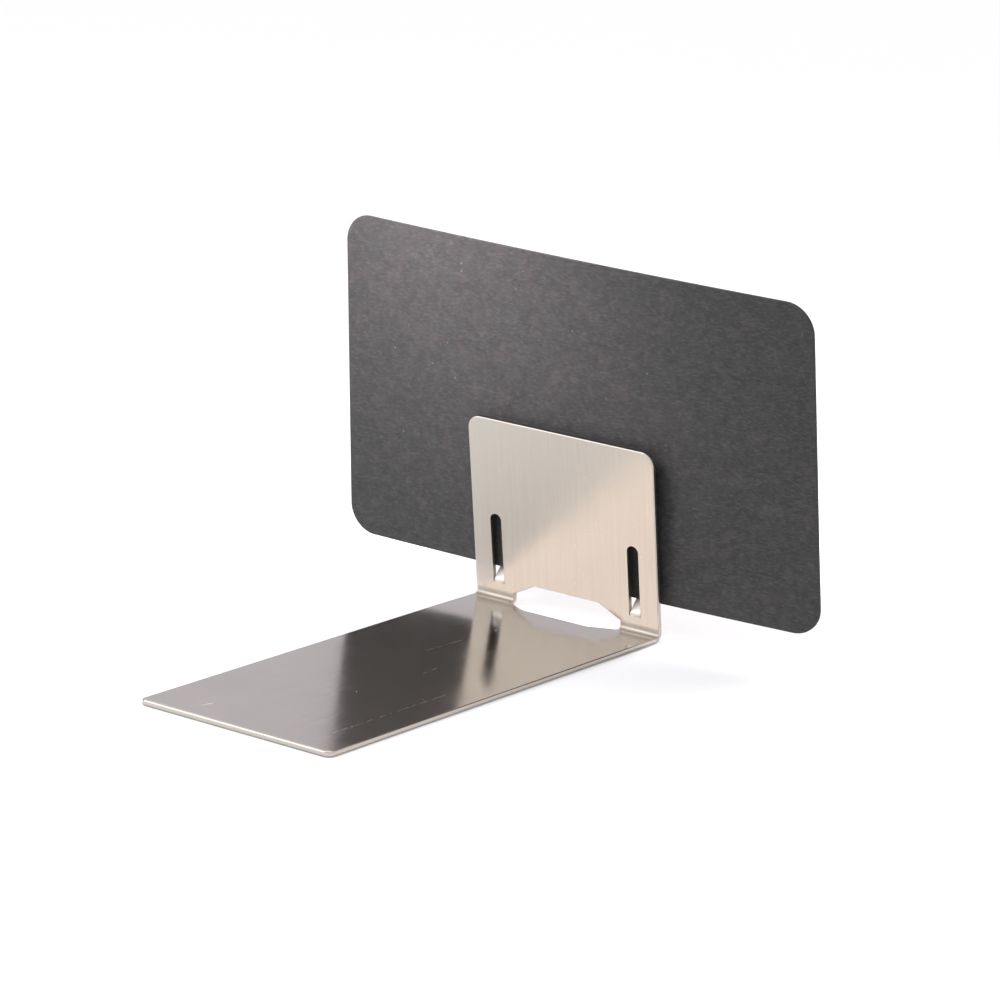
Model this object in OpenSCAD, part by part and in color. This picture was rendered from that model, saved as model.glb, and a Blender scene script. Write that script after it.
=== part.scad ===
// Card stand: one strip of steel bent to an L, with two hooks lanced out of it that hold a card.
// X runs across the strip, Y runs back along the tongue, Z is up. The card is read from the -Y side.
// The origin is the middle of the tongue's underside, on the surface that the stand rests on.

/* [Strip] */
// Thickness of the steel strip
sheet_t = 0.8; // [0.6:0.1:1.2]
// Width of the strip
strip_w = 35.6; // [34:0.2:56]
// Inside radius of the bend between tongue and upstand
bend_r = 0.6; // [0.4:0.1:1.2]

/* [Tongue] */
// Length of the tongue, measured to the outer corner of the bend
tongue_len = 84; // [50:1:120]
// Radius of the two corners at the tongue's free end
tongue_corner_r = 2; // [0.5:0.1:6]

/* [Upstand] */
// Height of the upstand above the tongue's top face, along its slope
upstand_h = 30.8; // [24:0.2:50]
// Lean of the upstand from upright, over the tongue, in degrees
upstand_lean = 9.8; // [0:0.1:14]
// Radius of the upstand's two top corners
upstand_corner_r = 2.2; // [0.5:0.1:6]

/* [Window] */
// Width of the window where it crosses the bend
window_w = 20.6; // [16:0.2:22]
// Length of the window's straight edge on each leg
window_flat = 12.4; // [8:0.2:14]
// Straight stretch of the window's sides past the bend, on each leg
window_side = 0.5; // [0.2:0.1:1]
// Reach of the window up the upstand, above the tongue's top face
window_up = 3.3; // [2.8:0.1:6]
// Reach of the window along the tongue, from the upstand's back face
window_along = 3.2; // [2.8:0.1:6]

/* [Hooks] */
// Distance between the middles of the two hooks
hook_spacing = 26.5; // [25:0.5:28]
// Width of the slot that each hook is bent out of
slot_w = 2.1; // [1.6:0.1:3]
// Height of the slot's round top above the tongue's top face, along the upstand
slot_top = 14.5; // [12:0.1:20]
// Height above the tongue's top face at which the hook's ramp leaves the upstand
hook_root = 3.1; // [3:0.1:5]
// Angle by which the hook's ramp is bent forward, in degrees
hook_bend = 50; // [30:1:55]
// Inside radius of the hook's two bends
hook_bend_r = 0.5; // [0.3:0.1:1]
// Shear clearance between the hook's strip and each side of its slot
lance_gap = 0.1; // [0.05:0.05:0.3]

/* [Card] */
// Width of the card, straight across
card_w = 90; // [60:1:150]
// Height of the card
card_h = 54; // [40:1:100]
// Thickness of the card
card_t = 0.55; // [0.3:0.05:1.5]
// Radius of the card's corners
card_corner_r = 4.8; // [1:0.2:12]
// Bow of the card: how far its two ends curve forward of its middle
card_bow = 1; // [0.2:0.05:3]
// Tilt of the card forward from the upstand, in degrees
card_tilt = 2.1; // [0:0.1:5]
// Clearance between the upstand's front face and the card's lower edge
card_gap = 0.75; // [0.1:0.05:1.2]
// Clearance between the card's front face and the hooks' lips
lip_gap = 0.45; // [0.05:0.05:0.8]
// Clearance between the card's lower edge and the hooks' ramps
seat_gap = 0.03; // [0.01:0.01:0.1]

/* [Hidden] */
$fn = 64;

// How far a cutting shape runs past the sheet
cut_over = 1;
// Facets along each bend of the strip
bend_steps = 16;

// Bend between tongue and upstand, from the corner where their inner faces would meet
lean_reach = (1 + sin(upstand_lean)) / cos(upstand_lean);
back_y = -tongue_len / 2 + sheet_t * lean_reach;
bend_run = bend_r * lean_reach;
bend_front = sheet_t * lean_reach + cut_over;
tongue_reach = tongue_len - sheet_t * lean_reach;

// Bow of the card as a radius, and what it adds at the hooks' outer edges
tab_w = slot_w - 2 * lance_gap;
hook_edge_x = hook_spacing / 2 + tab_w / 2;
bow_r = (card_w * card_w / 4 + card_bow * card_bow) / (2 * card_bow);
bow_facet = 4;
hook_sag = bow_r - sqrt(bow_r * bow_r - hook_edge_x * hook_edge_x);

// Where the card stands, as a depth in front of the upstand's back face and a height along the upstand
card_depth = sheet_t + card_gap;
card_front = (card_t + hook_sag) * cos(card_tilt);
card_drop = (card_t + hook_sag) * sin(card_tilt);
card_foot = hook_root + (card_depth + card_front) / tan(hook_bend) + card_drop + seat_gap;

// Hook, from its first bend to its lip, with the same length of strip as the slot it came from
lip_depth = card_depth + card_front + (slot_top - card_foot) * tan(card_tilt) + lip_gap;
hook_foot = hook_root - (hook_bend_r + sheet_t) * tan(hook_bend / 2);
ramp_len = lip_depth / sin(hook_bend) - (2 * hook_bend_r + sheet_t) * tan(hook_bend / 2);
bend_len = (hook_bend_r + sheet_t / 2) * hook_bend * PI / 180;
lip_foot = hook_root + lip_depth / tan(hook_bend) + hook_bend_r * tan(hook_bend / 2);
lip_len = slot_top - lance_gap - hook_foot - 2 * bend_len - ramp_len;

// Points of a bend about centre, from angle start to angle end
function bend_arc(centre, r, start, end) = [
    for (i = [0:bend_steps])
        let (a = start + (end - start) * i / bend_steps)
            centre + r * [cos(a), sin(a)]
];

// Puts what is drawn with the upstand upright at the origin into its leaning place
module on_upstand() {
    translate([0, back_y, sheet_t])
        rotate([-upstand_lean, 0, 0])
            children();
}

// Puts what is drawn with the tongue's top in the XY plane into place, while the upstand is upright
module on_tongue() {
    rotate([upstand_lean, 0, 0])
        children();
}

// Strip of the given width from its side outline, whose points are [y, z]
module bent_sheet(outline, width) {
    rotate([90, 0, 90])
        translate([0, 0, -width / 2])
            linear_extrude(width)
                polygon(outline);
}

// Waste outside a round corner of a sheet in the XY plane, whose centre is at the origin
module corner_waste(corner_r) {
    translate([0, 0, -sheet_t - cut_over])
        difference() {
            cube([corner_r + cut_over, corner_r + cut_over, sheet_t + 2 * cut_over]);
            translate([0, 0, -cut_over])
                cylinder(r = corner_r, h = sheet_t + 4 * cut_over);
        }
}

// Waste at the two corners of a leg's free end, reach along Y from the bend
module end_waste(reach, corner_r) {
    for (side = [0, 1])
        mirror([side, 0, 0])
            translate([strip_w / 2 - corner_r, reach - corner_r, 0])
                corner_waste(corner_r);
}

// The strip bent to its L, with square ends
module bent_strip() {
    centre = [bend_r, bend_run];
    turn_end = 270 + upstand_lean;
    along = [cos(upstand_lean), sin(upstand_lean)];
    down = [sin(upstand_lean), -cos(upstand_lean)];
    bent_sheet(concat(
        [[0, upstand_h]],
        bend_arc(centre, bend_r, 180, turn_end),
        [tongue_reach * along, tongue_reach * along + sheet_t * down],
        bend_arc(centre, bend_r + sheet_t, turn_end, 180),
        [[-sheet_t, upstand_h]]
    ), strip_w);
}

// Half of the window on one leg: from its straight edge at reach, its ends spread back past the bend
module window_half(reach) {
    spread = (window_w - window_flat) / 2 / (reach - bend_run - window_side);
    root_x = window_flat / 2 + spread * (reach + bend_front);
    polygon([
        [-root_x, -bend_front],
        [-window_flat / 2, reach],
        [window_flat / 2, reach],
        [root_x, -bend_front]
    ]);
}

// The window across the bend: one half through each leg, kept within the window's width
module window_cut() {
    intersection() {
        translate([-window_w / 2, -bend_front, -bend_front])
            cube([window_w, bend_front + window_along + cut_over, bend_front + window_up + cut_over]);
        union() {
            on_tongue()
                translate([0, 0, -sheet_t - cut_over])
                    linear_extrude(sheet_t + cut_over + bend_run / 2)
                        window_half(window_along);
            rotate([90, 0, 0])
                translate([0, 0, -cut_over])
                    linear_extrude(sheet_t + 2 * cut_over)
                        window_half(window_up);
        }
    }
}

// Slot that a hook was bent out of, with a round top
module slot_cut() {
    slot_r = slot_w / 2;
    translate([-slot_r, -sheet_t - cut_over, hook_foot])
        cube([slot_w, sheet_t + 2 * cut_over, slot_top - slot_r - hook_foot]);
    translate([0, cut_over, slot_top - slot_r])
        rotate([90, 0, 0])
            cylinder(r = slot_r, h = sheet_t + 2 * cut_over);
}

// Hook: strip that leaves the upstand on a ramp, then turns up again to a lip with a round tip
module hook() {
    tip_r = tab_w / 2;
    tip_h = lip_foot + lip_len - tip_r;
    root_h = hook_foot - sheet_t;
    root_bend = [-sheet_t - hook_bend_r, hook_foot];
    lip_bend = [hook_bend_r - lip_depth, lip_foot];
    bent_sheet(concat(
        [[0, root_h]],
        bend_arc(root_bend, hook_bend_r + sheet_t, 0, hook_bend),
        bend_arc(lip_bend, hook_bend_r, 180 + hook_bend, 180),
        [[-lip_depth, tip_h], [-lip_depth - sheet_t, tip_h]],
        bend_arc(lip_bend, hook_bend_r + sheet_t, 180, 180 + hook_bend),
        bend_arc(root_bend, hook_bend_r, hook_bend, 0),
        [[-sheet_t, root_h]]
    ), tab_w);
    translate([0, -lip_depth, tip_h])
        rotate([90, 0, 0])
            cylinder(r = tip_r, h = sheet_t);
}

module stand() {
    color([0.76, 0.73, 0.69])
        on_upstand() {
            difference() {
                bent_strip();
                on_tongue()
                    end_waste(tongue_reach, tongue_corner_r);
                rotate([90, 0, 0])
                    translate([0, 0, sheet_t])
                        end_waste(upstand_h, upstand_corner_r);
                window_cut();
                for (side = [-1, 1])
                    translate([side * hook_spacing / 2, 0, 0])
                        slot_cut();
            }
            for (side = [-1, 1])
                translate([side * hook_spacing / 2, 0, 0])
                    hook();
        }
}

// Outline of the card, as a block that runs through its bowed thickness
module card_block() {
    depth = card_t + card_bow + 2 * cut_over;
    translate([0, cut_over, 0])
        rotate([90, 0, 0]) {
            translate([-card_w / 2, card_corner_r, 0])
                cube([card_w, card_h - 2 * card_corner_r, depth]);
            translate([-card_w / 2 + card_corner_r, 0, 0])
                cube([card_w - 2 * card_corner_r, card_h, depth]);
            for (side = [-1, 1], up = [card_corner_r, card_h - card_corner_r])
                translate([side * (card_w / 2 - card_corner_r), up, 0])
                    cylinder(r = card_corner_r, h = depth);
        }
}

// Sheet of the card's thickness, bowed about an upright axis in front of it
module bowed_sheet() {
    $fn = ceil(2 * PI * bow_r / bow_facet);
    translate([0, -bow_r, -cut_over])
        difference() {
            cylinder(r = bow_r, h = card_h + 2 * cut_over);
            translate([0, 0, -cut_over])
                cylinder(r = bow_r - card_t, h = card_h + 4 * cut_over);
        }
}

module card() {
    color([0.29, 0.29, 0.29])
        on_upstand()
            translate([0, -card_depth, card_foot])
                rotate([card_tilt, 0, 0])
                    intersection() {
                        bowed_sheet();
                        card_block();
                    }
}

stand();
card();
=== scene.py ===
"""A card stand bent from one strip of brushed steel, with a fibre card in its two hooks.

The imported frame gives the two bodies. Each piece is cut flat in millimetres, as on the bench, then bent into
place by a Geometry Nodes tree that also turns it to metres.
"""

import logging
from dataclasses import dataclass, field
from enum import Enum
from math import cos, hypot, pi, radians, sin, tan

import bmesh
import bpy
from mathutils import Matrix, Vector
from mathutils.geometry import delaunay_2d_cdt


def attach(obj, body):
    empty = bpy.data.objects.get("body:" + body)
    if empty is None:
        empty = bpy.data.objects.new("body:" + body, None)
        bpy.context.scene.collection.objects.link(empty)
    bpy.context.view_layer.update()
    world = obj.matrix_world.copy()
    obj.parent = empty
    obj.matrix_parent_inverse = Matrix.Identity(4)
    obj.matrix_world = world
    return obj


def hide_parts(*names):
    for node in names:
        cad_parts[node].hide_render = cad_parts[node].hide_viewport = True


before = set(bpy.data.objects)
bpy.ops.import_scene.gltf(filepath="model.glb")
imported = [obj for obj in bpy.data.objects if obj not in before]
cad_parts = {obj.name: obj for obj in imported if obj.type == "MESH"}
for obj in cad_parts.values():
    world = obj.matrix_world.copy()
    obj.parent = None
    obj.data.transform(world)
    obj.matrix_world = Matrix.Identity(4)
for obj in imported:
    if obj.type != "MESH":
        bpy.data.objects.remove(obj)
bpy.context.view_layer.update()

LOG = logging.getLogger("card_stand")
MM = 0.001
MAP_NAME = "blank"
# How near to a slit an edge is part of it, and how far a crease runs past the sheet, in millimetres
NEAR = 0.01
OVERRUN = 1.0
# How close two points of a blank are one, in millimetres
SAME_POINT = 1e-6
# How far the map leans over for each millimetre up a wall, and how little a wall's normal rises
WALL_SLANT = (0.37, 0.53)
WALL_RISE = 0.5
# Weight of the large faces in the shading, where 50 is neutral
FLAT_WEIGHT = 100
# The range that most of a noise lies in
MIDDLE = (0.3, 0.7)
# Shares of a dot's radius and of a scratch's half width that have full strength
DOT_CORE = 0.6
SCRATCH_CORE = 0.3
# Tints of the lights
COOL = (0.95, 0.99, 1.1)
WARM = (1.02, 0.91, 0.925)

Point = tuple[float, float]
Pair = tuple[float, float]
Line = tuple[Point, Point]
Colour = tuple[float, float, float, float]
Triple = tuple[float, float, float]
Socket = bpy.types.NodeSocket


class Layer(Enum):
    """Attributes that a flat blank carries into its bent shape."""

    CUT = "cut_edge"
    TAB = "hook_tab"
    THROUGH = "through_sheet"


class Bend(Enum):
    """The side that a bend turns the sheet to."""

    UP = 1.0
    DOWN = -1.0


def grey(value: float, warm: float = 0.0) -> Colour:
    """A grey of the given brightness, warmer above zero and cooler below it."""
    return (value * (1 + warm), value, value * (1 - warm), 1.0)


def arc(centre: Point, radius: float, start: float, end: float, steps: int) -> list[Point]:
    """Gives the points of an arc, with both of its ends.

    Args:
        centre: Middle of the arc.
        radius: Radius of the arc.
        start: Angle of its first point, in degrees.
        end: Angle of its last point, in degrees.
        steps: Straight facets along it.

    Returns:
        The points, in order.
    """
    turns = [radians(start + (end - start) * i / steps) for i in range(steps + 1)]
    return [(centre[0] + radius * cos(a), centre[1] + radius * sin(a)) for a in turns]


def within(point: Point, loop: list[Point]) -> bool:
    """Says whether a point lies inside a closed loop.

    Args:
        point: The point.
        loop: Corners of the loop, in order.

    Returns:
        True if it lies inside.
    """
    x, y = point
    inside = False
    for (ax, ay), (bx, by) in zip(loop, loop[1:] + loop[:1]):
        if (ay > y) != (by > y) and x < ax + (bx - ax) * (y - ay) / (by - ay):
            inside = not inside
    return inside


class NodeBench:
    """Adds and joins the nodes of one tree."""

    def __init__(self, tree: bpy.types.NodeTree) -> None:
        """Starts with the tree empty."""
        self.tree = tree
        tree.nodes.clear()

    def feed(self, socket: Socket, value: object) -> None:
        """Joins a socket to another one, or sets its value.

        Args:
            socket: The input to feed.
            value: An output socket, or a plain value.
        """
        if isinstance(value, Socket):
            self.tree.links.new(value, socket)
        else:
            socket.default_value = value

    def add(self, kind: str, inputs: dict | None = None, **settings: object) -> bpy.types.Node:
        """Adds a node.

        Args:
            kind: The node's type.
            inputs: Values or output sockets by the input's name or number.
            settings: Properties of the node.

        Returns:
            The new node.
        """
        node = self.tree.nodes.new(kind)
        for name, value in settings.items():
            setattr(node, name, value)
        for key, value in (inputs or {}).items():
            self.feed(node.inputs[key], value)
        return node

    def maths(self, operation: str, *values: object) -> Socket:
        """Adds a Math node.

        Args:
            operation: Its operation.
            values: Its inputs, in order.

        Returns:
            Its output.
        """
        return self.add("ShaderNodeMath", dict(enumerate(values)), operation=operation).outputs[0]

    def blend(self, share: object, first: object, second: object, how: str = "MIX") -> Socket:
        """Mixes two colours.

        Args:
            share: How much of the second colour shows.
            first: The first colour.
            second: The second colour.
            how: The way that they are mixed.

        Returns:
            The mixed colour.
        """
        node = self.add("ShaderNodeMix", {0: share, 6: first, 7: second}, data_type="RGBA", blend_type=how)
        return node.outputs[2]

    def band(self, value: object, low: float, high: float, out_low: float, out_high: float) -> Socket:
        """Maps a range of values smoothly to another one.

        Args:
            value: The value to map.
            low: Start of its range.
            high: End of its range.
            out_low: What the start becomes.
            out_high: What the end becomes.

        Returns:
            The mapped value.
        """
        numbers = {"Value": value, "From Min": low, "From Max": high, "To Min": out_low, "To Max": out_high}
        return self.add("ShaderNodeMapRange", numbers, interpolation_type="SMOOTHSTEP").outputs[0]

    def noise(self, place: object, scale: float, detail: float = 2.0, rough: float = 0.5) -> Socket:
        """Adds a noise.

        Args:
            place: The coordinates that it reads.
            scale: Its scale.
            detail: Its finer octaves.
            rough: How strong they are.

        Returns:
            The noise, from 0 to 1.
        """
        numbers = {"Vector": place, "Scale": scale, "Detail": detail, "Roughness": rough}
        return self.add("ShaderNodeTexNoise", numbers).outputs["Fac"]

    def specks(self, place: object, scale: float, size: float, share: float) -> Socket:
        """Strews small dots.

        Args:
            place: The coordinates that they lie on.
            scale: Dots in a unit of length, if all of them showed.
            size: Radius of a dot, against the room that it has.
            share: Share of the dots that shows.

        Returns:
            1 in a dot and 0 outside.
        """
        cells = self.add("ShaderNodeTexVoronoi", {"Vector": place, "Scale": scale}).outputs
        draw = self.add("ShaderNodeSeparateXYZ", {0: cells["Color"]}).outputs[0]
        chosen = self.maths("LESS_THAN", draw, share)
        return self.maths("MULTIPLY", chosen, self.band(cells["Distance"], size * DOT_CORE, size, 1.0, 0.0))

    def scratch(self, place: object, line: Line, width: float) -> Socket:
        """Draws a straight scratch.

        Args:
            place: The coordinates that it lies on.
            line: Its two ends.
            width: Half its width.

        Returns:
            1 on the scratch and 0 beside it.
        """
        start, end = (Vector((*point, 0.0)) for point in line)
        run = end - start
        offset = self.vector("SUBTRACT", place, tuple(start))
        along = self.add("ShaderNodeVectorMath", {0: offset, 1: tuple(run)}, operation="DOT_PRODUCT")
        share = self.maths("DIVIDE", along.outputs["Value"], run.length_squared)
        share = self.maths("MINIMUM", self.maths("MAXIMUM", share, 0.0), 1.0)
        foot = self.add("ShaderNodeVectorMath", {0: tuple(run), "Scale": share}, operation="SCALE")
        away = self.vector("SUBTRACT", offset, foot.outputs[0])
        gap = self.add("ShaderNodeVectorMath", {0: away}, operation="LENGTH").outputs["Value"]
        return self.band(gap, width * SCRATCH_CORE, width, 1.0, 0.0)

    def vector(self, operation: str, first: object, second: object) -> Socket:
        """Adds a Vector Math node.

        Args:
            operation: Its operation.
            first: Its first input.
            second: Its second input.

        Returns:
            Its vector.
        """
        return self.add("ShaderNodeVectorMath", {0: first, 1: second}, operation=operation).outputs[0]

    def stretched(self, place: object, scale: Triple) -> Socket:
        """Scales coordinates along each axis.

        Args:
            place: The coordinates.
            scale: The factors.

        Returns:
            The scaled coordinates.
        """
        return self.add("ShaderNodeMapping", {"Vector": place, "Scale": scale}).outputs[0]

    def bump(self, height: object, strength: float, depth: float) -> Socket:
        """Adds a bump.

        Args:
            height: The height that it shows.
            strength: How much of it shows.
            depth: What a height of 1 stands for, in metres.

        Returns:
            The bumped normal.
        """
        numbers = {"Height": height, "Strength": strength, "Distance": depth}
        return self.add("ShaderNodeBump", numbers).outputs[0]

    def coat(self, inputs: dict) -> None:
        """Ends a material with a Principled surface.

        Args:
            inputs: Values or output sockets by the surface's inputs.
        """
        shader = self.add("ShaderNodeBsdfPrincipled", inputs)
        self.add("ShaderNodeOutputMaterial", {"Surface": shader.outputs[0]})


def material_bench(name: str) -> tuple[bpy.types.Material, NodeBench]:
    """Makes an empty node material.

    Args:
        name: Its name.

    Returns:
        The material and the bench for its nodes.
    """
    material = bpy.data.materials.new(name)
    material.use_nodes = True
    return material, NodeBench(material.node_tree)


@dataclass(frozen=True)
class BrushedSteel:
    """Stainless sheet with a fine brush grain along the strip, read from the blank's own map in metres."""

    name: str = "brushed_steel"
    tint: Colour = (0.526, 0.474, 0.418, 1.0)
    worn: Colour = (0.462, 0.415, 0.366, 1.0)
    # Pale colour of the scratches, which are real wear, and of the painted highlight on the hooks
    bright: Colour = (0.9, 0.87, 0.82, 1.0)
    roughness: float = 0.13
    handled_roughness: float = 0.09
    bend: Pair = (0.0819, 0.0846)
    bend_fade: float = 0.0008
    bend_roughness: float = 0.34
    anisotropy: float = 0.6
    grain: Triple = (9000.0, 110.0, 1.0)
    grain_share: float = 0.3
    grain_roughness: float = 0.03
    streak: Triple = (2600.0, 26.0, 1.0)
    streak_band: Pair = (0.35, 0.7)
    streak_share: float = 0.38
    cloud_scale: float = 90.0
    cloud_roughness: float = 0.02
    pits: Triple = (420.0, 0.065, 0.12)
    dash: Triple = (5200.0, 420.0, 1.0)
    dash_band: Pair = (0.72, 0.86)
    dash_depth: float = 0.4
    break_scale: float = 700.0
    break_band: Pair = (0.3, 0.65)
    break_depths: Pair = (0.3, 0.85)
    mark_share: float = 0.55
    mark_roughness: float = 0.24
    mark_height: float = -0.6
    # Share of the pale colour painted on the hooks as a highlight
    hook_highlight_share: float = 0.7
    hook_roughness: float = 0.3
    bump: Pair = (0.06, 0.00001)
    scratch_half: float = 0.00011
    scratches: tuple[Line, ...] = (
        ((0.0126, 0.0082), (0.0129, 0.0346)), ((-0.0091, 0.0046), (-0.0086, 0.0065)),
        ((-0.0031, 0.0511), (-0.0026, 0.0594)), ((0.0040, 0.0405), (0.0037, 0.0446)),
        ((0.0049, 0.0987), (0.0076, 0.0990)), ((0.0067, 0.1010), (0.0070, 0.0992)),
        ((0.0024, 0.0992), (0.0024, 0.0958)),
    )

    def material(self) -> bpy.types.Material:
        """Builds the material."""
        material, bench = material_bench(self.name)
        place = bench.add("ShaderNodeUVMap", uv_map=MAP_NAME).outputs[0]
        grain = bench.noise(bench.stretched(place, self.grain), 1.0, detail=3.0, rough=0.6)
        streak = bench.noise(bench.stretched(place, self.streak), 1.0, detail=4.0, rough=0.6)
        cloud = bench.noise(place, self.cloud_scale, detail=3.0)
        marks = self._marks(bench, place)
        shade = bench.blend(bench.band(grain, *MIDDLE, 0.0, self.grain_share), self.tint, self.worn)
        shade = bench.blend(bench.band(streak, *self.streak_band, 0.0, self.streak_share), shade, self.worn)
        shade = bench.blend(bench.maths("MULTIPLY", marks, self.mark_share), shade, self.bright)
        tab = bench.add("ShaderNodeAttribute", attribute_name=Layer.TAB.value).outputs["Fac"]
        # Painted highlight: the hook tabs are lightened towards the pale colour
        shade = bench.blend(bench.maths("MULTIPLY", tab, self.hook_highlight_share), shade, self.bright)
        along = bench.add("ShaderNodeSeparateXYZ", {0: place}).outputs["Y"]
        low, high = self.bend
        after_bend = self.handled_roughness - self.bend_roughness
        rough = bench.band(grain, *MIDDLE, -self.grain_roughness, self.grain_roughness)
        for part in (
            bench.band(cloud, *MIDDLE, -self.cloud_roughness, self.cloud_roughness),
            bench.maths("MULTIPLY", marks, self.mark_roughness),
            bench.band(along, low, low + self.bend_fade, 0.0, self.bend_roughness),
            bench.band(along, high, high + self.bend_fade, 0.0, after_bend),
            bench.maths("MULTIPLY", tab, self.hook_roughness),
        ):
            rough = bench.maths("ADD", rough, part)
        height = bench.maths("ADD", grain, bench.maths("MULTIPLY", marks, self.mark_height))
        tangent = bench.add("ShaderNodeTangent", direction_type="UV_MAP", uv_map=MAP_NAME)
        bench.coat({
            "Base Color": shade, "Metallic": 1.0, "Anisotropic": self.anisotropy,
            "Roughness": bench.maths("ADD", rough, self.roughness),
            "Tangent": tangent.outputs[0], "Normal": bench.bump(height, *self.bump),
        })
        return material

    def _marks(self, bench: NodeBench, place: Socket) -> Socket:
        """Draws the handling marks: broken scratches, short dashes on the grain and pits.

        Args:
            bench: The material's nodes.
            place: The blank's map.

        Returns:
            How deep the marks are, from 0 to 1.
        """
        marks = bench.specks(place, *self.pits)
        dashes = bench.noise(bench.stretched(place, self.dash), 1.0, detail=1.0)
        dashes = bench.band(dashes, *self.dash_band, 0.0, self.dash_depth)
        marks = bench.maths("MAXIMUM", marks, dashes)
        breaks = bench.band(bench.noise(place, self.break_scale), *self.break_band, *self.break_depths)
        for line in self.scratches:
            drawn = bench.maths("MULTIPLY", bench.scratch(place, line, self.scratch_half), breaks)
            marks = bench.maths("MAXIMUM", marks, drawn)
        return marks


@dataclass(frozen=True)
class ShearedEdge:
    """The cut edges of the steel: bright where they round over on one side and dark where they break on the
    other; the brightness is partly painted highlight and the darkness partly painted contact shadow.
    """

    name: str = "sheared_steel_edge"
    # Light colour of the upper side of the edge, partly the smooth zone of the cut and partly painted
    # highlight
    rolled_and_highlight: Colour = (0.92, 0.89, 0.85, 1.0)
    sheared: Colour = (0.8, 0.77, 0.73, 1.0)
    # Dark colour of the underside of the edge, partly the broken zone of the cut and partly painted contact
    # shadow
    torn_and_shadow: Colour = (0.17, 0.162, 0.15, 1.0)
    tear_scale: float = 5200.0
    tear_reach: float = 0.08
    torn_shadow_band: Pair = (0.3, 0.46)
    rolled_highlight_band: Pair = (0.7, 0.88)
    rough_band: Pair = (0.4, 0.9)
    roughness: Pair = (0.42, 0.24)
    bump: Pair = (0.12, 0.00002)

    def material(self) -> bpy.types.Material:
        """Builds the material."""
        material, bench = material_bench(self.name)
        place = bench.add("ShaderNodeTexCoord").outputs["Object"]
        tear = bench.noise(place, self.tear_scale, detail=3.0)
        through = bench.add("ShaderNodeAttribute", attribute_name=Layer.THROUGH.value).outputs["Fac"]
        ragged = bench.maths("ADD", through, bench.band(tear, *MIDDLE, -self.tear_reach, self.tear_reach))
        # Painted contact shadow: the underside of each edge is darkened, over the duller broken zone of a real
        # cut
        shade = bench.blend(bench.band(ragged, *self.torn_shadow_band, 0.0, 1.0), self.torn_and_shadow, self.sheared)
        # Painted highlight: the upper side of each edge is lightened, over the smoother rounded zone of a real
        # cut
        shade = bench.blend(bench.band(ragged, *self.rolled_highlight_band, 0.0, 1.0), shade, self.rolled_and_highlight)
        bench.coat({
            "Base Color": shade, "Metallic": 1.0, "Normal": bench.bump(tear, *self.bump),
            "Roughness": bench.band(ragged, *self.rough_band, *self.roughness),
        })
        return material


@dataclass(frozen=True)
class FibreBoard:
    """Black fibre board with short pale fibres, bright specks and a faint mottle of warm and cool greys."""

    name: str = "black_fibre_board"
    dark: Colour = grey(0.023)
    pale: Colour = grey(0.033)
    warm: Colour = (0.051, 0.041, 0.041, 1.0)
    cool: Colour = (0.033, 0.037, 0.035, 1.0)
    fibre: Colour = grey(0.066)
    pit: Colour = grey(0.01)
    speck: Colour = grey(0.24)
    lying_fibres: Triple = (1100.0, 1100.0, 3400.0)
    upright_fibres: Triple = (3400.0, 1100.0, 1400.0)
    cloud_scale: float = 520.0
    patch_scale: float = 420.0
    specks: Triple = (640.0, 0.11, 0.08)
    speck_share: float = 0.3
    nap_band: Pair = (0.7, 1.3)
    roughness: Pair = (0.55, 0.7)
    specular: float = 0.3
    bump: Pair = (0.25, 0.00006)

    def material(self) -> bpy.types.Material:
        """Builds the material."""
        material, bench = material_bench(self.name)
        place = bench.add("ShaderNodeTexCoord").outputs["Object"]
        lying = bench.noise(bench.stretched(place, self.lying_fibres), 1.0, detail=3.0, rough=0.55)
        upright = bench.noise(bench.stretched(place, self.upright_fibres), 1.0, detail=3.0, rough=0.55)
        cloud = bench.noise(place, self.cloud_scale, detail=4.0)
        patch = bench.noise(place, self.patch_scale)
        specks = bench.specks(place, *self.specks)
        shade: object = self.dark
        for source, low, high, share, colour in (
            (cloud, *MIDDLE, 0.7, self.pale),
            (patch, 0.5, 0.72, 0.4, self.warm),
            (patch, 0.46, 0.3, 0.25, self.cool),
            (lying, 0.45, 0.75, 0.5, self.fibre),
            (upright, 0.5, 0.78, 0.3, self.fibre),
            (lying, 0.45, 0.28, 0.5, self.pit),
        ):
            shade = bench.blend(bench.band(source, low, high, 0.0, share), shade, colour)
        shade = bench.blend(bench.maths("MULTIPLY", specks, self.speck_share), shade, self.speck)
        nap = bench.maths("ADD", lying, upright)
        bench.coat({
            "Base Color": shade, "Roughness": bench.band(nap, *self.nap_band, *self.roughness),
            "Specular IOR Level": self.specular, "Normal": bench.bump(nap, *self.bump),
        })
        return material


@dataclass(frozen=True)
class BoardEdge:
    """The cut edge of the board, where its fibres stand open."""

    name: str = "cut_board_edge"
    dark: Colour = grey(0.1)
    pale: Colour = grey(0.24)
    fuzz_scale: float = 3800.0
    fuzz_band: Pair = (0.35, 0.7)
    roughness: Pair = (0.75, 0.9)
    specular: float = 0.3
    bump: Pair = (0.4, 0.00006)

    def material(self) -> bpy.types.Material:
        """Builds the material."""
        material, bench = material_bench(self.name)
        place = bench.add("ShaderNodeTexCoord").outputs["Object"]
        fuzz = bench.noise(place, self.fuzz_scale, detail=3.0)
        shade = bench.blend(bench.band(fuzz, *self.fuzz_band, 0.0, 1.0), self.dark, self.pale)
        bench.coat({
            "Base Color": shade, "Roughness": bench.band(fuzz, *MIDDLE, *self.roughness),
            "Specular IOR Level": self.specular, "Normal": bench.bump(fuzz, *self.bump),
        })
        return material


@dataclass(frozen=True)
class PaleSweep:
    """The pale matt floor of the studio."""

    name: str = "pale_floor"
    tint: Colour = grey(0.93)
    roughness: float = 0.9
    specular: float = 0.1

    def material(self) -> bpy.types.Material:
        """Builds the material."""
        material, bench = material_bench(self.name)
        bench.coat({
            "Base Color": self.tint, "Roughness": self.roughness, "Specular IOR Level": self.specular,
        })
        return material


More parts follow.
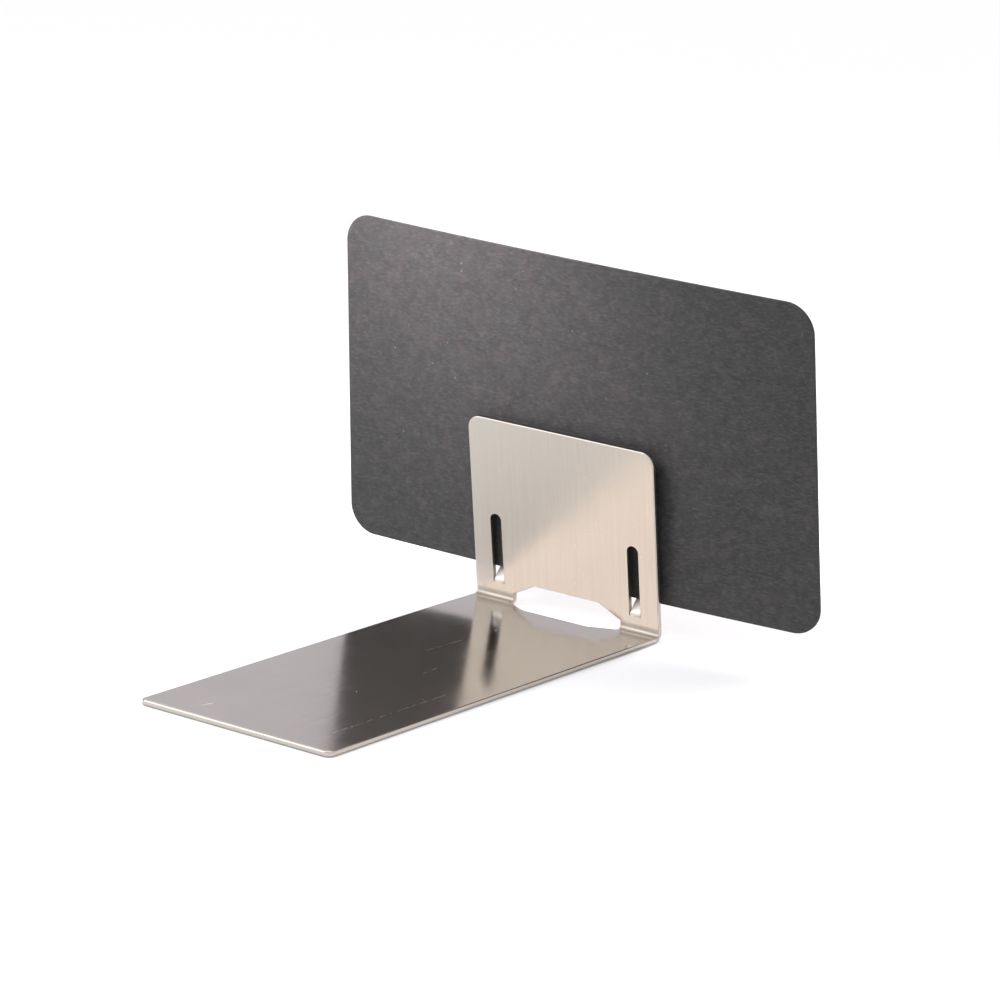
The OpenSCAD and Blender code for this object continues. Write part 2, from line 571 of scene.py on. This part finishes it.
@dataclass
class FlatBlank:
    """A sheet cut flat in the XY plane, in millimetres, with its underside at zero height."""

    thickness: float
    outline: list[Point]
    holes: list[list[Point]]
    creases: list[Line]
    arris: float
    slits: list[list[Point]] = field(default_factory=list)
    slit_arris: float = 0.05

    def mesh(self, name: str) -> bpy.types.Mesh:
        """Cuts the sheet and rounds its edges.

        Args:
            name: Name of the mesh.

        Returns:
            The mesh, with its cut edges marked and a map that lies flat on it.
        """
        work = bmesh.new()
        walls = self._slab(work)
        edges = [e for e in work.edges if len({f in walls for f in e.link_faces}) == 2]
        slit = [e for e in edges if self._on_slit(e)]
        rim = [e for e in edges if not self._on_slit(e)]
        cut_faces: set[bmesh.types.BMFace] = set()
        for chosen, reach in ((rim, self.arris), (slit, self.slit_arris)):
            if not chosen:
                continue
            cut = bmesh.ops.bevel(
                work, geom=chosen, offset=reach, offset_type="OFFSET", segments=2, profile=0.5,
                affect="EDGES", clamp_overlap=False, material=1,
            )
            cut_faces |= set(cut["faces"])
        cut_faces |= {f for f in work.faces if abs(f.normal.z) < WALL_RISE}
        marks = work.faces.layers.bool.new(Layer.CUT.value)
        for face in work.faces:
            face[marks] = face in cut_faces
            face.smooth = True
            face.material_index = 0
        depth = work.verts.layers.float.new(Layer.THROUGH.value)
        for vert in work.verts:
            vert[depth] = vert.co.z / self.thickness
        self._lay_map(work)
        mesh = bpy.data.meshes.new(name)
        work.to_mesh(mesh)
        work.free()
        return mesh

    def _slab(self, work: bmesh.types.BMesh) -> set[bmesh.types.BMFace]:
        """Fills the outline between its holes on both sides and stands walls round it.

        Args:
            work: The mesh to fill.

        Returns:
            The walls.
        """
        points: list[Vector] = []
        edges: list[tuple[int, int]] = []
        for loop in [self.outline, *self.holes, *self.slits]:
            first = len(points)
            points += [Vector(p) for p in loop]
            edges += [(first + i, first + (i + 1) % len(loop)) for i in range(len(loop))]
        for start, end in self.creases:
            edges.append((len(points), len(points) + 1))
            points += [Vector(start), Vector(end)]
        spots, _, faces, *_ = delaunay_2d_cdt(points, edges, [], 0, SAME_POINT)
        kept = [f for f in faces if self._solid(sum((spots[i] for i in f), Vector((0, 0))) / 3)]
        used = sorted({i for f in kept for i in f})
        low = {i: work.verts.new((spots[i].x, spots[i].y, 0)) for i in used}
        high = {i: work.verts.new((spots[i].x, spots[i].y, self.thickness)) for i in used}
        sides = {(a, b) for f in kept for a, b in zip(f, f[1:] + f[:1])}
        for face in kept:
            work.faces.new([high[i] for i in face])
            work.faces.new([low[i] for i in reversed(face)])
        rims = [(a, b) for a, b in sides if (b, a) not in sides]
        walls = {work.faces.new((low[a], low[b], high[b], high[a])) for a, b in rims}
        work.normal_update()
        return walls

    def _solid(self, spot: Vector) -> bool:
        """Says whether there is sheet at a spot."""
        point = (spot.x, spot.y)
        gone = any(within(point, hole) for hole in self.holes + self.slits)
        return within(point, self.outline) and not gone

    def _on_slit(self, edge: bmesh.types.BMEdge) -> bool:
        """Says whether an edge of the sheet borders a slit."""
        x, y, _ = (edge.verts[0].co + edge.verts[1].co) / 2
        for slit in self.slits:
            across, along = zip(*slit)
            beside = min(across) - NEAR < x < max(across) + NEAR
            if beside and min(along) - NEAR < y < max(along) + NEAR:
                return True
        return False

    def _lay_map(self, work: bmesh.types.BMesh) -> None:
        """Maps the sheet as it lies, in metres, with a slant up its walls so that no face of them is lost."""
        layer = work.loops.layers.uv.new(MAP_NAME)
        for face in work.faces:
            for loop in face.loops:
                x, y, z = loop.vert.co
                loop[layer].uv = ((x + WALL_SLANT[0] * z) * MM, (y + WALL_SLANT[1] * z) * MM)


class NodeTool:
    """A Geometry Nodes tree with named inputs, run once on a piece."""

    def __init__(self, name: str, inputs: dict[str, str]) -> None:
        """Makes the tree with its named inputs.

        Args:
            name: Name of the tree.
            inputs: Kind of socket for each input's name, beside the geometry.
        """
        self.tree = bpy.data.node_groups.new(name, "GeometryNodeTree")
        self.bench = NodeBench(self.tree)
        face = self.tree.interface
        face.new_socket("Geometry", in_out="INPUT", socket_type="NodeSocketGeometry")
        for label, kind in inputs.items():
            face.new_socket(label, in_out="INPUT", socket_type=kind)
        face.new_socket("Geometry", in_out="OUTPUT", socket_type="NodeSocketGeometry")
        self.given = self.bench.add("NodeGroupInput").outputs

    def marked(self, layer: Layer) -> Socket:
        """Reads one of the blank's marks."""
        name = {"Name": layer.value}
        node = self.bench.add("GeometryNodeInputNamedAttribute", name, data_type="BOOLEAN")
        return node.outputs["Attribute"]

    def place(self) -> bpy.types.NodeOutputs:
        """Reads the place of each point, axis by axis."""
        position = self.bench.add("GeometryNodeInputPosition").outputs[0]
        return self.bench.add("ShaderNodeSeparateXYZ", {0: position}).outputs

    def close(self, geometry: Socket) -> None:
        """Joins the tree's output."""
        self.bench.add("NodeGroupOutput", {"Geometry": geometry})

    def close_with(
        self, geometry: Socket, face: bpy.types.Material, edge: bpy.types.Material,
    ) -> None:
        """Ends the tree with plain geometry in its two finishes.

        Args:
            geometry: The bent sheet.
            face: Finish of the faces.
            edge: Finish of the cut edges.
        """
        plain = self.bench.add("GeometryNodeRealizeInstances", {"Geometry": geometry}).outputs[0]
        faced = self.bench.add("GeometryNodeSetMaterial", {"Geometry": plain, "Material": face}).outputs[0]
        trim = {"Geometry": faced, "Selection": self.marked(Layer.CUT), "Material": edge}
        self.close(self.bench.add("GeometryNodeSetMaterial", trim).outputs[0])

    def run(self, piece: bpy.types.Object, values: dict[str, float]) -> None:
        """Runs the tree on a piece and keeps the result as a plain mesh.

        Args:
            piece: The piece, which holds the flat blank.
            values: Value of each named input.
        """
        modifier = piece.modifiers.new(self.tree.name, "NODES")
        modifier.node_group = self.tree
        for item in self.tree.interface.items_tree:
            if item.in_out == "INPUT" and item.name in values:
                modifier[item.identifier] = values[item.name]
        graph = bpy.context.evaluated_depsgraph_get()
        bent = bpy.data.meshes.new_from_object(
            piece.evaluated_get(graph), preserve_all_data_layers=True, depsgraph=graph)
        piece.modifiers.remove(modifier)
        flat = piece.data
        piece.data = bent
        bpy.data.meshes.remove(flat)
        bent.name = piece.name


def fold_tool() -> NodeTool:
    """Makes the tree that bends a sheet about a line across it, round a centre above or below it."""
    number = "NodeSocketFloat"
    tool = NodeTool("fold", {
        "Selection": "NodeSocketBool", "Start": number, "Centre": number,
        "Neutral radius": number, "Turn": number, "Side": number,
    })
    bench, given = tool.bench, tool.given
    maths = bench.maths
    place = tool.place()
    along = maths("SUBTRACT", place["Y"], given["Start"])
    turned = maths("MAXIMUM", maths("DIVIDE", along, given["Neutral radius"]), 0.0)
    turned = maths("MINIMUM", turned, given["Turn"])
    rest = maths("SUBTRACT", along, maths("MULTIPLY", turned, given["Neutral radius"]))
    radius = maths("MULTIPLY", given["Side"], maths("SUBTRACT", given["Centre"], place["Z"]))
    sine, cosine = maths("SINE", turned), maths("COSINE", turned)
    out = maths("ADD", maths("MULTIPLY", radius, sine), maths("MULTIPLY", rest, cosine))
    rise = maths("SUBTRACT", maths("MULTIPLY", rest, sine), maths("MULTIPLY", radius, cosine))
    bent = bench.add("ShaderNodeCombineXYZ", {
        "X": place["X"], "Y": maths("ADD", given["Start"], out),
        "Z": maths("ADD", given["Centre"], maths("MULTIPLY", given["Side"], rise)),
    })
    moved = {"Geometry": given["Geometry"], "Selection": given["Selection"], "Position": bent.outputs[0]}
    tool.close(bench.add("GeometryNodeSetPosition", moved).outputs[0])
    return tool


@dataclass
class SteelStand:
    """The strip: a tongue, an upstand, a window across their bend and two hooks lanced out of the upstand."""

    sheet: float = 0.8
    width: float = 35.6
    tongue_end: float = 42.0
    tongue_corner: float = 1.2
    bend_corner: float = 83.05
    bend_radius: float = 0.6
    bend_turn: float = radians(99.8)
    upstand_height: float = 30.8
    upstand_corner: float = 2.2
    window_half: float = 10.3
    window_flat: float = 6.2
    window_side: float = 0.5
    window_along: float = 3.2
    window_up: float = 3.3
    hook_across: tuple[float, float] = (-13.25, 13.25)
    hook_foot: float = 2.494
    hook_radius: float = 0.5
    hook_turn: float = radians(50.0)
    hook_ramp: float = 3.0735
    slot_half: float = 1.05
    slot_top: float = 14.5
    tab_half: float = 0.95
    tab_top: float = 14.4
    slit_arris: float = 0.05
    arris: float = 0.18
    corner_steps: int = 10
    slot_steps: int = 24
    bend_steps: int = 16
    hook_steps: int = 8
    face: BrushedSteel = field(default_factory=BrushedSteel)
    edge: ShearedEdge = field(default_factory=ShearedEdge)

    @property
    def bend_run(self) -> float:
        """Length of each leg that its bend takes up, from the corner of their inner faces."""
        return self.bend_radius * tan(self.bend_turn / 2)

    @property
    def bend_start(self) -> float:
        """How far along the blank the bend starts."""
        return self.bend_corner - self.bend_run

    @property
    def hook_root(self) -> float:
        """How far along the blank the hooks start to bend."""
        return self.up(self.hook_foot)

    @property
    def hook_lip(self) -> float:
        """How far along the blank the hooks' lips start to bend."""
        return self.hook_root + self.hook_turn * self._neutral(self.hook_radius) + self.hook_ramp

    def up(self, height: float) -> float:
        """How far along the blank a height on the upstand lies."""
        return self.bend_start + self.bend_turn * self._neutral(self.bend_radius) + height - self.bend_run

    def build(self) -> bpy.types.Object:
        """Cuts the blank and bends it.

        Returns:
            The stand, in place.
        """
        slits = [self._lance(x) for x in self.hook_across]
        blank = FlatBlank(
            self.sheet, self._outline(), [self._window()], self._creases(), self.arris,
            slits, self.slit_arris)
        piece = bpy.data.objects.new("bent_steel_stand", blank.mesh("bent_steel_stand"))
        bpy.context.scene.collection.objects.link(piece)
        self._mark_tabs(piece.data)
        self._press().run(piece, {
            "Bend start": self.bend_start, "Bend centre": self.sheet + self.bend_radius,
            "Bend neutral radius": self._neutral(self.bend_radius), "Bend turn": self.bend_turn,
            "Hook root": self.hook_root, "Hook root centre": -self.hook_radius,
            "Hook lip": self.hook_lip, "Hook lip centre": self.sheet + self.hook_radius,
            "Hook neutral radius": self._neutral(self.hook_radius), "Hook turn": self.hook_turn,
            "Tongue end": self.tongue_end * MM,
        })
        return piece

    def dress(self, piece: bpy.types.Object) -> None:
        """Evens the shading of the flats and sets the piece on its body."""
        piece.modifiers.new("even_shading", "WEIGHTED_NORMAL").weight = FLAT_WEIGHT
        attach(piece, "stand")
        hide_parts("stand")

    def _neutral(self, radius: float) -> float:
        """Radius of the layer that keeps its length in a bend."""
        return radius + self.sheet / 2

    def _outline(self) -> list[Point]:
        """Outline of the blank, from the tongue's free end."""
        x, top = self.width / 2, self.up(self.upstand_height)
        low, high, steps = self.tongue_corner, self.upstand_corner, self.corner_steps
        return [
            *arc((-x + low, low), low, 180, 270, steps), *arc((x - low, low), low, 270, 360, steps),
            *arc((x - high, top - high), high, 0, 90, steps),
            *arc((-x + high, top - high), high, 90, 180, steps),
        ]

    def _window(self) -> list[Point]:
        """The window across the bend."""
        wide, flat = self.window_half, self.window_flat
        side = self.bend_run + self.window_side
        low, low_side = self.bend_corner - self.window_along, self.bend_corner - side
        high_side, high = self.up(side), self.up(self.window_up)
        return [(-flat, low), (flat, low), (wide, low_side), (wide, high_side),
                (flat, high), (-flat, high), (-wide, high_side), (-wide, low_side)]

    def _lance(self, middle: float) -> list[Point]:
        """The narrow cut that frees one hook on three sides."""
        foot, slot, tab = self.hook_root, self.slot_half, self.tab_half
        outer = arc((middle, self.up(self.slot_top) - slot), slot, 0, 180, self.slot_steps)
        inner = arc((middle, self.up(self.tab_top) - tab), tab, 180, 0, self.slot_steps)
        return [(middle + slot, foot), *outer, (middle - slot, foot),
                (middle - tab, foot), *inner, (middle + tab, foot)]

    def _creases(self) -> list[Line]:
        """Lines across the blank that let its bends come out round."""
        reach, steps = self.width / 2 + OVERRUN, self.bend_steps
        turn = self.bend_turn * self._neutral(self.bend_radius)
        rows = [self.bend_start + turn * i / steps for i in range(steps + 1)]
        lines = [((-reach, row), (reach, row)) for row in rows]
        reach, steps = (self.tab_half + self.slot_half) / 2, self.hook_steps
        turn = self.hook_turn * self._neutral(self.hook_radius)
        starts = (self.hook_root, self.hook_lip)
        rows = [start + turn * i / steps for start in starts for i in range(steps + 1)]
        lines += [((x - reach, row), (x + reach, row)) for x in self.hook_across for row in rows[1:]]
        return lines

    def _mark_tabs(self, mesh: bpy.types.Mesh) -> None:
        """Marks the points of the two hooks, which bend by themselves."""
        reach, root = (self.tab_half + self.slot_half) / 2, self.hook_root
        tip = self.up(self.tab_top) - self.tab_half
        mark = mesh.attributes.new(Layer.TAB.value, "BOOLEAN", "POINT")
        for vert, value in zip(mesh.vertices, mark.data):
            across = min(abs(vert.co.x - x) for x in self.hook_across)
            value.value = vert.co.y > root and hypot(across, max(vert.co.y - tip, 0.0)) < reach

    def _press(self) -> NodeTool:
        """Makes the tree that folds the hooks, then the whole strip, and sets it on its tongue."""
        names = ("Bend start", "Bend centre", "Bend neutral radius", "Bend turn",
                 "Hook root", "Hook root centre", "Hook lip", "Hook lip centre",
                 "Hook neutral radius", "Hook turn", "Tongue end")
        tool = NodeTool("strip_press", {name: "NodeSocketFloat" for name in names})
        bench, given = tool.bench, tool.given
        fold = fold_tool().tree
        tab = tool.marked(Layer.TAB)

        def folded(geometry: Socket, line: str, size: str, side: Bend, part: object) -> Socket:
            """Adds one fold.

            Args:
                geometry: The sheet so far.
                line: First words of the inputs that place the fold.
                size: First word of the inputs that shape it.
                side: The side it turns to.
                part: Which points it moves.

            Returns:
                The folded sheet.
            """
            start = given[line + " start"] if line == "Bend" else given[line]
            node = bench.add("GeometryNodeGroup", node_tree=fold)
            sizes = {
                "Geometry": geometry, "Selection": part, "Start": start, "Side": side.value,
                "Centre": given[line + " centre"], "Turn": given[size + " turn"],
                "Neutral radius": given[size + " neutral radius"],
            }
            for name, value in sizes.items():
                bench.feed(node.inputs[name], value)
            return node.outputs[0]

        lipped = folded(given["Geometry"], "Hook lip", "Hook", Bend.UP, tab)
        hooked = folded(lipped, "Hook root", "Hook", Bend.DOWN, tab)
        bent = folded(hooked, "Bend", "Bend", Bend.UP, True)
        place = bench.add("ShaderNodeCombineXYZ", {"Y": given["Tongue end"]}).outputs[0]
        placed = bench.add("GeometryNodeTransform", {
            "Geometry": bent, "Translation": place, "Rotation": (0.0, 0.0, pi), "Scale": (MM, MM, MM)})
        tool.close_with(placed.outputs[0], self.face.material(), self.edge.material())
        return tool


@dataclass
class FibreCard:
    """The card: a thin bowed board with round corners, which has taken a slight twist."""

    width: float = 90.0
    height: float = 54.0
    thickness: float = 0.55
    corner: float = 4.8
    bow_radius: float = 1013.0
    turn: float = 0.0183
    twist: float = 0.0459
    aside: float = -0.65
    lean: float = radians(-7.68)
    foot: Triple = (0.0, -41.477, 5.852)
    arris: float = 0.12
    corner_steps: int = 16
    pitch: float = 2.0
    face: FibreBoard = field(default_factory=FibreBoard)
    edge: BoardEdge = field(default_factory=BoardEdge)

    def build(self) -> bpy.types.Object:
        """Cuts the card, bows it and stands it in the hooks.

        Returns:
            The card, in place.
        """
        blank = FlatBlank(self.thickness, self._outline(), [], self._creases(), self.arris)
        piece = bpy.data.objects.new("fibre_card", blank.mesh("fibre_card"))
        bpy.context.scene.collection.objects.link(piece)
        self._warp().run(piece, {
            "Height": self.height, "Bow radius": self.bow_radius, "Turn": self.turn, "Twist": self.twist,
            "Aside": self.aside, "Lean": self.lean,
            "Across": self.foot[0] * MM, "Back": self.foot[1] * MM, "Up": self.foot[2] * MM,
        })
        return piece

    def dress(self, piece: bpy.types.Object) -> None:
        """Evens the shading of the flats and sets the piece on its body."""
        piece.modifiers.new("even_shading", "WEIGHTED_NORMAL").weight = FLAT_WEIGHT
        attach(piece, "card")
        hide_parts("card")

    def _outline(self) -> list[Point]:
        """Outline of the card, from its lower left corner."""
        x, top, r, steps = self.width / 2, self.height, self.corner, self.corner_steps
        return [
            *arc((-x + r, r), r, 180, 270, steps), *arc((x - r, r), r, 270, 360, steps),
            *arc((x - r, top - r), r, 0, 90, steps), *arc((-x + r, top - r), r, 90, 180, steps),
        ]

    def _creases(self) -> list[Line]:
        """Upright lines that let the card bow."""
        count = round(self.width / self.pitch)
        rows = [-self.width / 2 + self.pitch * i for i in range(1, count)]
        return [((x, -OVERRUN), (x, self.height + OVERRUN)) for x in rows]

    def _warp(self) -> NodeTool:
        """Makes the tree that stands the flat card up, bows and twists it, and leans it in its place."""
        names = ("Height", "Bow radius", "Turn", "Twist", "Aside", "Lean", "Across", "Back", "Up")
        tool = NodeTool("card_warp", {name: "NodeSocketFloat" for name in names})
        bench, given = tool.bench, tool.given
        maths = bench.maths
        place = tool.place()
        across, height = place["X"], place["Y"]
        chord = maths("SUBTRACT", maths("POWER", given["Bow radius"], 2.0), maths("POWER", across, 2.0))
        sag = maths("SUBTRACT", given["Bow radius"], maths("SQRT", chord))
        share = maths("DIVIDE", height, given["Height"])
        swing = maths("SUBTRACT", given["Turn"], maths("MULTIPLY", given["Twist"], share))
        depth = maths("SUBTRACT", maths("SUBTRACT", maths("MULTIPLY", across, swing), sag), place["Z"])
        aside = maths("ADD", across, given["Aside"])
        stood = bench.add("ShaderNodeCombineXYZ", {"X": aside, "Y": depth, "Z": height}).outputs[0]
        shaped = bench.add("GeometryNodeSetPosition", {"Geometry": given["Geometry"], "Position": stood})
        lean = bench.add("ShaderNodeCombineXYZ", {"X": given["Lean"]}).outputs[0]
        spot = {"X": given["Across"], "Y": given["Back"], "Z": given["Up"]}
        placed = bench.add("GeometryNodeTransform", {
            "Geometry": shaped.outputs[0], "Rotation": lean, "Scale": (MM, MM, MM),
            "Translation": bench.add("ShaderNodeCombineXYZ", spot).outputs[0]})
        tool.close_with(placed.outputs[0], self.face.material(), self.edge.material())
        return tool


@dataclass
class Softbox:
    """One soft area light of the studio."""

    name: str
    place: Triple
    target: Triple
    size: Pair
    watts: float
    spread: float = pi
    mirrored: bool = True
    tint: Triple = (1.0, 1.0, 1.0)

    def build(self) -> None:
        """Hangs the light and aims it, and hides it from mirrors if it only fills."""
        lamp = bpy.data.lights.new(self.name, "AREA")
        lamp.shape = "RECTANGLE"
        lamp.size, lamp.size_y = self.size
        lamp.energy = self.watts
        lamp.color = self.tint
        lamp.spread = self.spread
        box = bpy.data.objects.new(self.name, lamp)
        box.location = self.place
        box.rotation_euler = (Vector(self.target) - Vector(self.place)).to_track_quat("-Z", "Y").to_euler()
        box.visible_glossy = self.mirrored
        bpy.context.scene.collection.objects.link(box)


@dataclass
class Studio:
    """Floor, light and camera."""

    floor_reach: float = 3.0
    floor_drop: float = 0.00008
    camera_place: Triple = (-0.366279, 0.493619, 0.186198)
    camera_azimuth: float = radians(215.440)
    camera_elevation: float = radians(14.476)
    camera_roll: float = radians(3.1545)
    camera_lens: float = 152.476
    camera_sensor: float = 36.0
    zenith: Colour = grey(1.2)
    backdrop: Colour = (0.755, 0.745, 0.82, 1.0)
    room: Colour = grey(0.94)
    backdrop_band: Pair = (0.5, -0.3)
    zenith_band: Pair = (0.4, 0.8)
    lights: tuple[Softbox, ...] = (
        Softbox("key_softbox", (0.15, 0.15, 0.185), (0.0, -0.04, 0.015), (0.22, 0.21), 0.33, tint=COOL),
        Softbox("low_softbox", (0.17, 0.18, 0.045), (0.0, -0.04, 0.02), (0.22, 0.09), 0.049, tint=COOL),
        Softbox("side_strip", (0.12, 0.06, 0.11), (0.045, -0.039, 0.066), (0.04, 0.04), 0.037,
                spread=radians(45), mirrored=False, tint=WARM),
        Softbox("top_strip", (0.06, 0.05, 0.15), (0.02, -0.036, 0.069), (0.03, 0.03), 0.034,
                spread=radians(35), mirrored=False, tint=WARM),
        Softbox("floor_fill", (-0.12, -0.35, 0.3), (-0.04, -0.08, 0.0), (0.3, 0.2), 0.2,
                spread=radians(90), mirrored=False, tint=WARM),
        Softbox("rim_softbox", (0.224, -0.304, 0.24), (0.0, -0.04, 0.03), (0.2, 0.1), 0.11),
    )
    floor: PaleSweep = field(default_factory=PaleSweep)

    def build(self) -> None:
        """Lays the floor, hangs the lights and sets up the camera."""
        self._floor()
        self._sky()
        for light in self.lights:
            light.build()
        self._camera()
        bpy.context.scene.view_settings.view_transform = "Standard"

    def _floor(self) -> None:
        """Lays the floor just under the tongue."""
        r = self.floor_reach
        mesh = bpy.data.meshes.new("pale_floor")
        mesh.from_pydata([(-r, -r, 0), (r, -r, 0), (r, r, 0), (-r, r, 0)], [], [(0, 1, 2, 3)])
        mesh.materials.append(self.floor.material())
        sweep = bpy.data.objects.new("pale_floor", mesh)
        sweep.location.z = -self.floor_drop
        bpy.context.scene.collection.objects.link(sweep)

    def _sky(self) -> None:
        """Lights the studio from a pale ceiling, a grey backdrop and a pale room round the camera."""
        world = bpy.data.worlds.new("studio")
        world.use_nodes = True
        bench = NodeBench(world.node_tree)
        around = bench.add("ShaderNodeTexCoord").outputs["Generated"]
        look = bench.add("ShaderNodeSeparateXYZ", {0: around}).outputs
        wall = bench.blend(bench.band(look["Y"], *self.backdrop_band, 0.0, 1.0), self.room, self.backdrop)
        shade = bench.blend(bench.band(look["Z"], *self.zenith_band, 0.0, 1.0), wall, self.zenith)
        glow = bench.add("ShaderNodeBackground", {"Color": shade, "Strength": 1.0})
        bench.add("ShaderNodeOutputWorld", {"Surface": glow.outputs[0]})
        bpy.context.scene.world = world

    def _camera(self) -> None:
        """Sets the camera at the photograph's angle."""
        lens = bpy.data.cameras.new("camera")
        lens.lens = self.camera_lens
        lens.sensor_width = self.camera_sensor
        camera = bpy.data.objects.new("camera", lens)
        camera.location = self.camera_place
        turned = Matrix.Rotation(self.camera_azimuth, 3, "Z")
        tipped = Matrix.Rotation(pi / 2 - self.camera_elevation, 3, "X")
        rolled_and_highlight = Matrix.Rotation(self.camera_roll, 3, "Z")
        camera.rotation_euler = (turned @ tipped @ rolled_and_highlight).to_euler()
        bpy.context.scene.collection.objects.link(camera)
        bpy.context.scene.camera = camera


def main() -> None:
    """Builds the pieces in order and reports each one."""
    logging.basicConfig(level=logging.INFO, format="%(name)s: %(message)s")
    for assembly in (SteelStand(), FibreCard()):
        piece = assembly.build()
        assembly.dress(piece)
        LOG.info("%s: %d faces", piece.name, len(piece.data.polygons))
    Studio().build()


if __name__ == "__main__":
    main()
